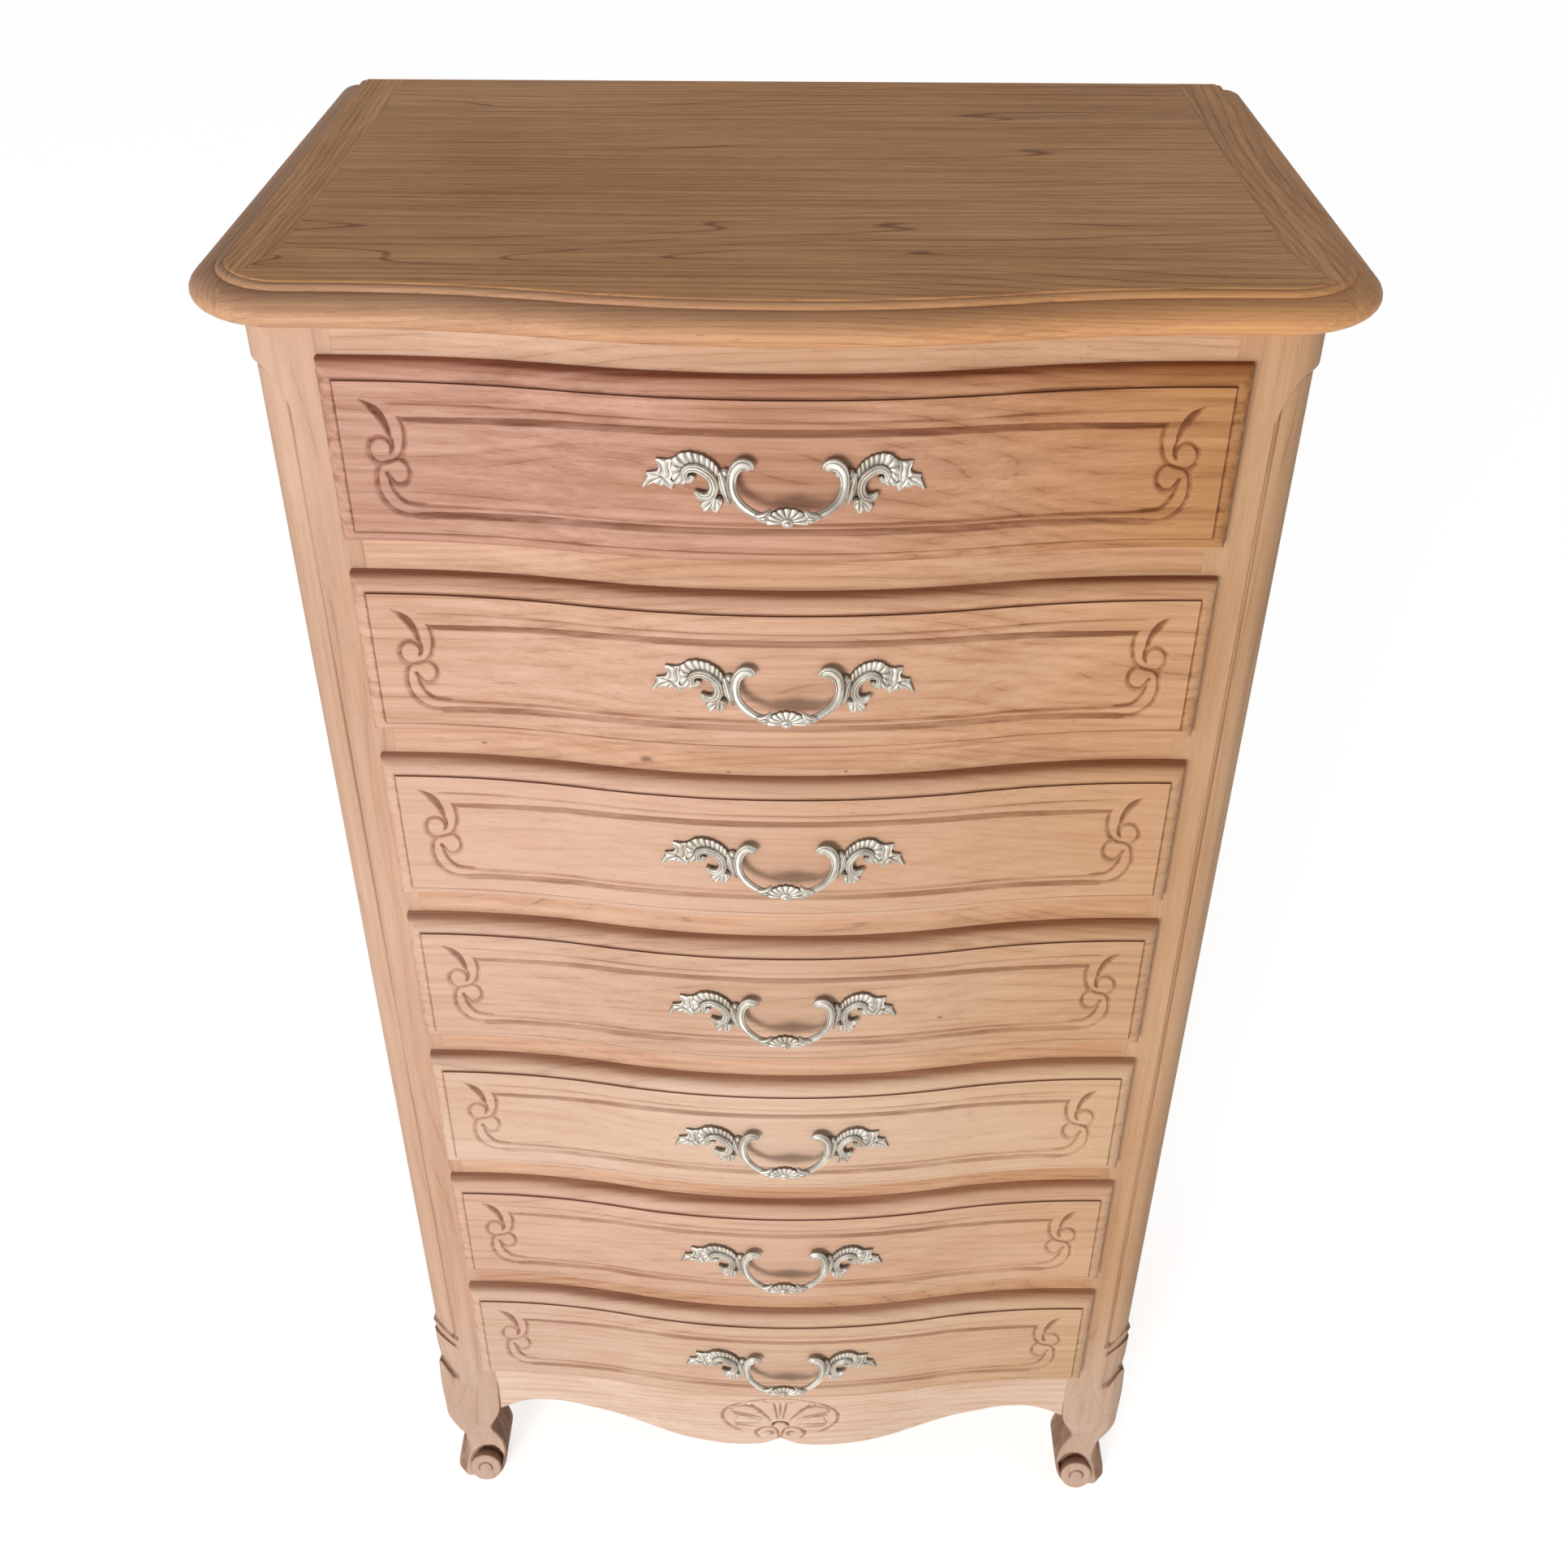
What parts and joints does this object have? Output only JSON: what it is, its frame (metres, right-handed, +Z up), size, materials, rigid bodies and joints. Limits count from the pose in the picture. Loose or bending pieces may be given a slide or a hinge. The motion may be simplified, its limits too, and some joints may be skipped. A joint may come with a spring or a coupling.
{
  "type": "semainier",
  "caption": "Tall narrow chest of bowed, lipped drawers with cast leaf handles, a moulded top and cabriole front legs on scroll feet; every drawer slides forward.",
  "frame": {"origin": "centre of the bounding box's footprint, on the floor", "axes": "+Z up, -Y to the front where the drawers open, +X to the viewer's right when facing the front"},
  "size_m": [0.702, 0.4695, 1.23],
  "materials": {
    "post_wood": "stripped, unfinished cherry-like wood",
    "side_wood": "stripped, unfinished cherry-like wood",
    "rail_wood": "stripped, unfinished cherry-like wood",
    "top_wood": "stripped wood, a little browner",
    "front_wood": "stripped, carved cherry-like wood",
    "inner_wood": "plain pale secondary wood",
    "cast_metal": "cast, darkened, worn light on the high spots",
    "screw_steel": "plain steel"
  },
  "bodies": {
    "carcass": {"front_post_right": "post_wood", "front_post_left": "post_wood", "rear_post_right": "post_wood", "rear_post_left": "post_wood", "side_panel_right": "side_wood", "side_panel_left": "side_wood", "side_rails": "side_wood", "back_panel": "inner_wood", "back_rails": "inner_wood", "frieze_rail": "rail_wood", "drawer_rails": "rail_wood", "apron_rail": "rail_wood", "drawer_runners": "inner_wood", "top_kickers": "inner_wood", "top_field": "top_wood", "top_front_strip": "top_wood", "top_end_left": "top_wood", "top_end_right": "top_wood"},
    "drawer_1": {"drawer_1_front": "front_wood", "drawer_1_sides": "inner_wood", "drawer_1_back": "inner_wood", "drawer_1_bottom": "inner_wood", "drawer_1_handle": "cast_metal", "drawer_1_screws": "screw_steel"},
    "drawer_2": {"drawer_2_front": "front_wood", "drawer_2_sides": "inner_wood", "drawer_2_back": "inner_wood", "drawer_2_bottom": "inner_wood", "drawer_2_handle": "cast_metal", "drawer_2_screws": "screw_steel"},
    "drawer_3": {"drawer_3_front": "front_wood", "drawer_3_sides": "inner_wood", "drawer_3_back": "inner_wood", "drawer_3_bottom": "inner_wood", "drawer_3_handle": "cast_metal", "drawer_3_screws": "screw_steel"},
    "drawer_4": {"drawer_4_front": "front_wood", "drawer_4_sides": "inner_wood", "drawer_4_back": "inner_wood", "drawer_4_bottom": "inner_wood", "drawer_4_handle": "cast_metal", "drawer_4_screws": "screw_steel"},
    "drawer_5": {"drawer_5_front": "front_wood", "drawer_5_sides": "inner_wood", "drawer_5_back": "inner_wood", "drawer_5_bottom": "inner_wood", "drawer_5_handle": "cast_metal", "drawer_5_screws": "screw_steel"},
    "drawer_6": {"drawer_6_front": "front_wood", "drawer_6_sides": "inner_wood", "drawer_6_back": "inner_wood", "drawer_6_bottom": "inner_wood", "drawer_6_handle": "cast_metal", "drawer_6_screws": "screw_steel"},
    "drawer_7": {"drawer_7_front": "front_wood", "drawer_7_sides": "inner_wood", "drawer_7_back": "inner_wood", "drawer_7_bottom": "inner_wood", "drawer_7_handle": "cast_metal", "drawer_7_screws": "screw_steel"}
  },
  "joints": [
    {"name": "drawer_1_slide", "type": "slide", "parent": "carcass", "child": "drawer_1", "axis": [0, -1, 0], "range_m": [0, 0.3]},
    {"name": "drawer_2_slide", "type": "slide", "parent": "carcass", "child": "drawer_2", "axis": [0, -1, 0], "range_m": [0, 0.3]},
    {"name": "drawer_3_slide", "type": "slide", "parent": "carcass", "child": "drawer_3", "axis": [0, -1, 0], "range_m": [0, 0.3]},
    {"name": "drawer_4_slide", "type": "slide", "parent": "carcass", "child": "drawer_4", "axis": [0, -1, 0], "range_m": [0, 0.3]},
    {"name": "drawer_5_slide", "type": "slide", "parent": "carcass", "child": "drawer_5", "axis": [0, -1, 0], "range_m": [0, 0.3]},
    {"name": "drawer_6_slide", "type": "slide", "parent": "carcass", "child": "drawer_6", "axis": [0, -1, 0], "range_m": [0, 0.3]},
    {"name": "drawer_7_slide", "type": "slide", "parent": "carcass", "child": "drawer_7", "axis": [0, -1, 0], "range_m": [0, 0.3]}
  ]
}
